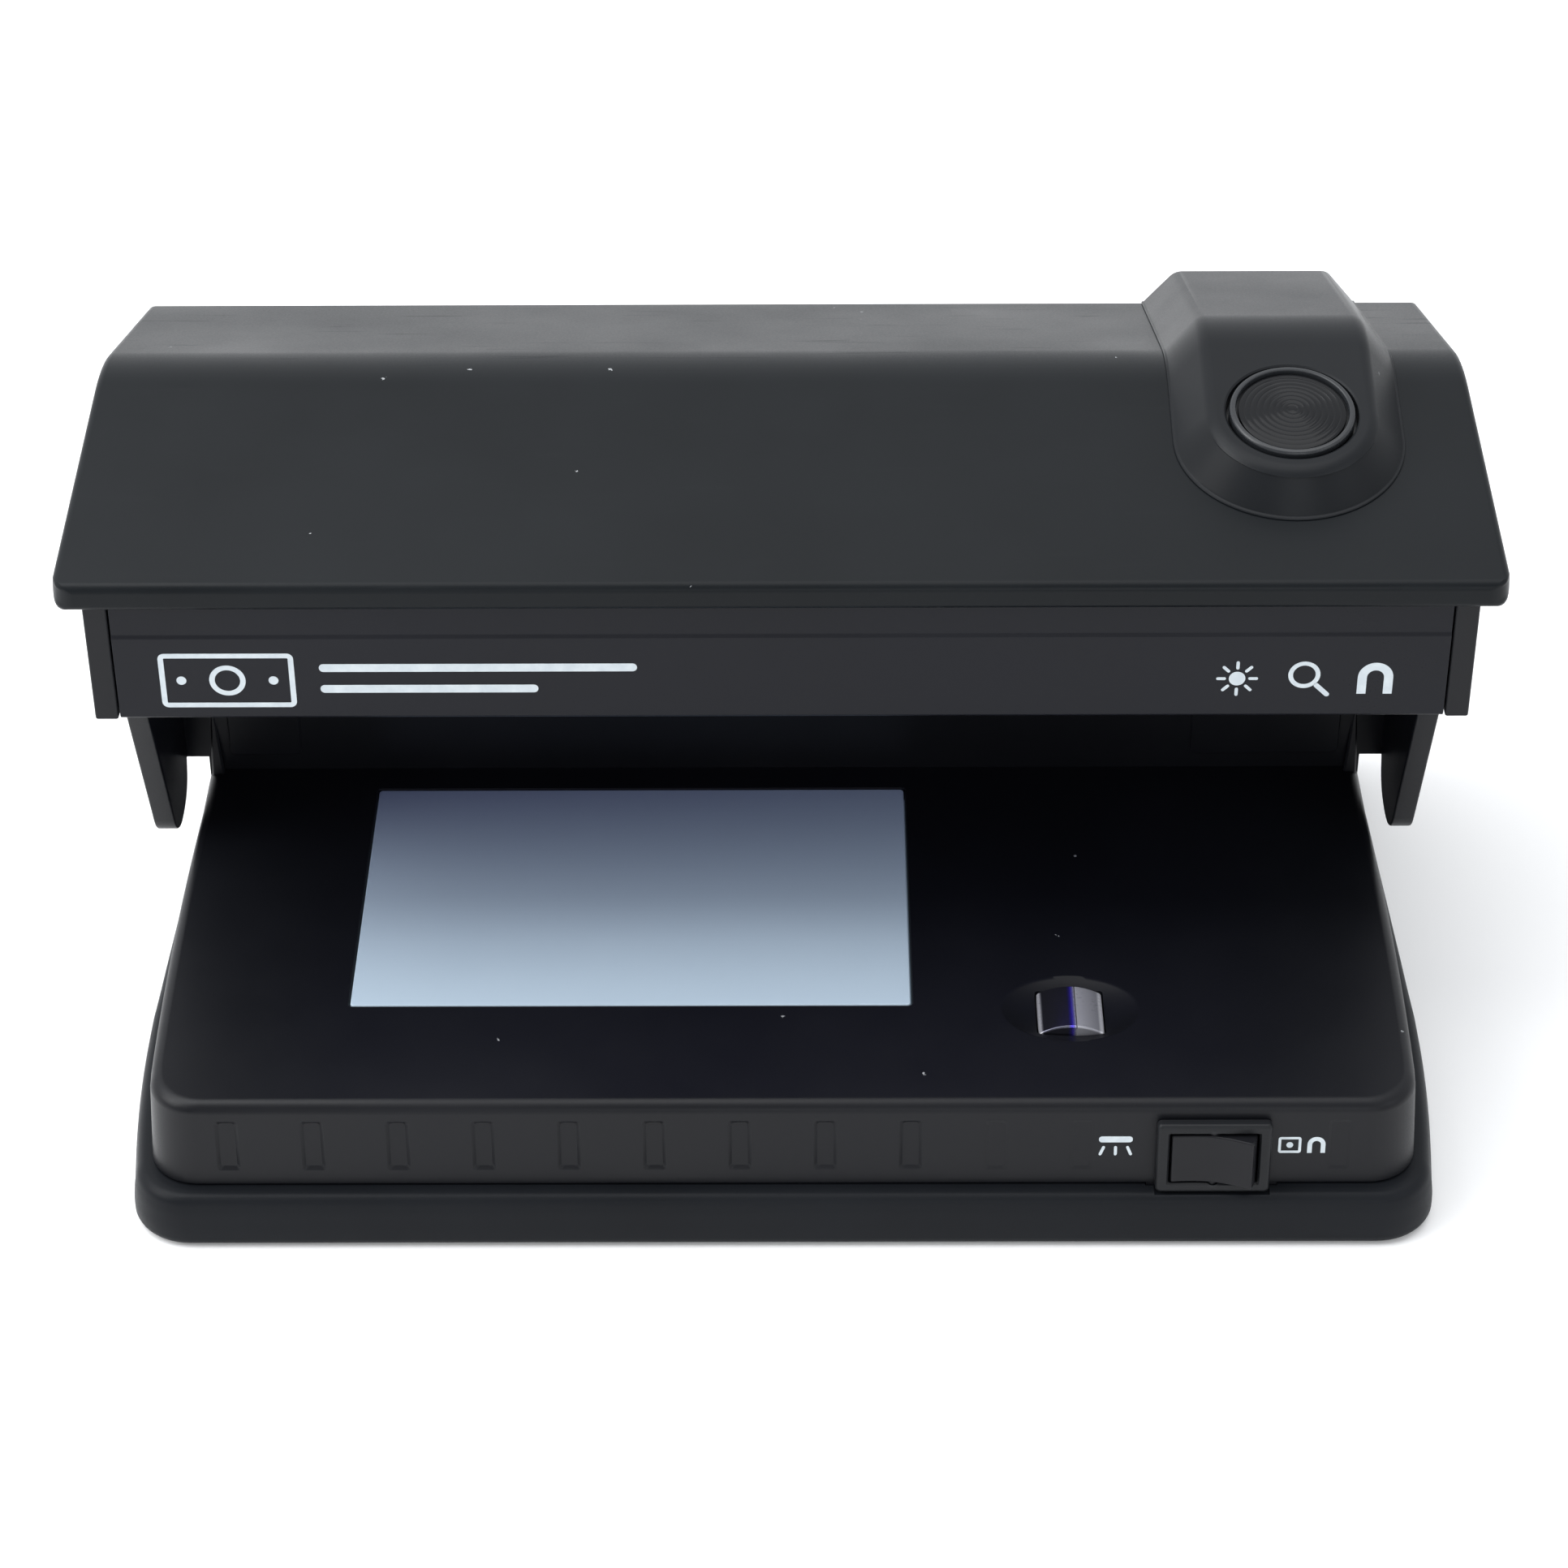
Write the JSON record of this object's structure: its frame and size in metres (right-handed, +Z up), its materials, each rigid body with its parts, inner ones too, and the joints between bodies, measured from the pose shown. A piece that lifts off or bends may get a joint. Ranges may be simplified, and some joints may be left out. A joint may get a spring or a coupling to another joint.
{
  "type": "counterfeit bill detector",
  "caption": "Counterfeit bill detector: flat deck with back-lit window, magnetic head and rocker switch under an overhanging ultraviolet lamp hood with a magnifier pod.",
  "frame": {"origin": "on the table under the centre of the bounding box", "axes": "+X to the operator's right, +Y away from the operator, +Z up"},
  "size_m": [0.2606, 0.1586, 0.1367],
  "materials": {
    "shell_plastic": "fine satin texture, near black",
    "cover_plastic": "fine satin texture, charcoal",
    "tray_plastic": "fine satin texture",
    "fascia_plastic": "satin",
    "pod_plastic": "satin, slightly smoother than the cover",
    "diffuser_acrylic": "milky translucent",
    "lens_acrylic": "clear dark, moulded rings",
    "switch_plastic": "satin",
    "rocker_plastic": "semi gloss",
    "black_plastic": "moulded",
    "foot_rubber": "matt",
    "screw_steel": "zinc plated",
    "head_metal": "polished",
    "brass_metal": "bright",
    "lamp_alu": "bright",
    "white_plastic": "white",
    "uv_glass": "dark violet filter glass",
    "white_glass": "white phosphor coated",
    "pcb_board": "green solder mask",
    "core_steel": "varnished laminations",
    "coil_winding": "taped copper winding",
    "can_sleeve": "sleeved can",
    "wire_jacket": "PVC",
    "wire_grey": "PVC"
  },
  "bodies": {
    "chassis": {"base_tray": "tray_plastic", "main_body": "shell_plastic", "rear_panel": "shell_plastic", "hood_cover": "cover_plastic", "magnifier_pod": "pod_plastic", "magnifier_lens": "lens_acrylic", "lens_retaining_ring": "black_plastic", "viewing_duct": "black_plastic", "front_fascia": "fascia_plastic", "lamp_reflector": "lamp_alu", "window_diffuser": "diffuser_acrylic", "backlight_reflector": "white_plastic", "magnetic_head": "head_metal", "head_carrier": "black_plastic", "head_spring": "brass_metal", "main_pcb": "pcb_board", "buzzer": "black_plastic", "capacitor": "can_sleeve", "power_inlet": "black_plastic", "inlet_pin_left": "brass_metal", "inlet_pin_right": "brass_metal", "fuse_holder": "black_plastic", "fuse_cap": "black_plastic", "switch_housing": "switch_plastic", "lamp_harness": "wire_jacket", "switch_harness": "wire_grey", "uv_holder_front_left": "white_plastic", "uv_holder_front_right": "white_plastic", "uv_holder_rear_left": "white_plastic", "uv_holder_rear_right": "white_plastic", "backlight_holder_left": "white_plastic", "backlight_holder_right": "white_plastic", "uv_ballast_core": "core_steel", "uv_ballast_coil": "coil_winding", "backlight_ballast_core": "core_steel", "backlight_ballast_coil": "coil_winding", "switch_terminal_1": "brass_metal", "switch_terminal_2": "brass_metal", "switch_terminal_3": "brass_metal", "foot_front_left": "foot_rubber", "base_screw_front_left": "screw_steel", "foot_front_right": "foot_rubber", "base_screw_front_right": "screw_steel", "foot_back_left": "foot_rubber", "base_screw_back_left": "screw_steel", "foot_back_right": "foot_rubber", "base_screw_back_right": "screw_steel", "rear_screw_left": "screw_steel", "rear_screw_right": "screw_steel"},
    "rocker": {"switch_rocker": "rocker_plastic"},
    "uv_lamp_front": {"uv_lamp_front_glass": "uv_glass", "uv_lamp_front_cap_left": "lamp_alu", "uv_lamp_front_cap_right": "lamp_alu"},
    "uv_lamp_rear": {"uv_lamp_rear_glass": "uv_glass", "uv_lamp_rear_cap_left": "lamp_alu", "uv_lamp_rear_cap_right": "lamp_alu"},
    "backlight_lamp": {"backlight_lamp_glass": "white_glass", "backlight_lamp_cap_left": "lamp_alu", "backlight_lamp_cap_right": "lamp_alu"}
  },
  "joints": [
    {"name": "rocker_tilt", "type": "hinge", "parent": "chassis", "child": "rocker", "pos_m": [0.079, -0.07468, 0.01839], "axis": [0, 0.1115, 0.9938], "range_deg": [0, 20]},
    {"name": "uv_lamp_front_turn", "type": "hinge", "parent": "chassis", "child": "uv_lamp_front", "pos_m": [0, -0.0183, 0.0975], "axis": [1, 0, 0], "range_deg": [0, 90]},
    {"name": "uv_lamp_rear_turn", "type": "hinge", "parent": "chassis", "child": "uv_lamp_rear", "pos_m": [0, 0.0225, 0.0975], "axis": [1, 0, 0], "range_deg": [0, 90]},
    {"name": "backlight_lamp_turn", "type": "hinge", "parent": "chassis", "child": "backlight_lamp", "pos_m": [-0.02865, -0.01, 0.0145], "axis": [1, 0, 0], "range_deg": [0, 90]}
  ]
}
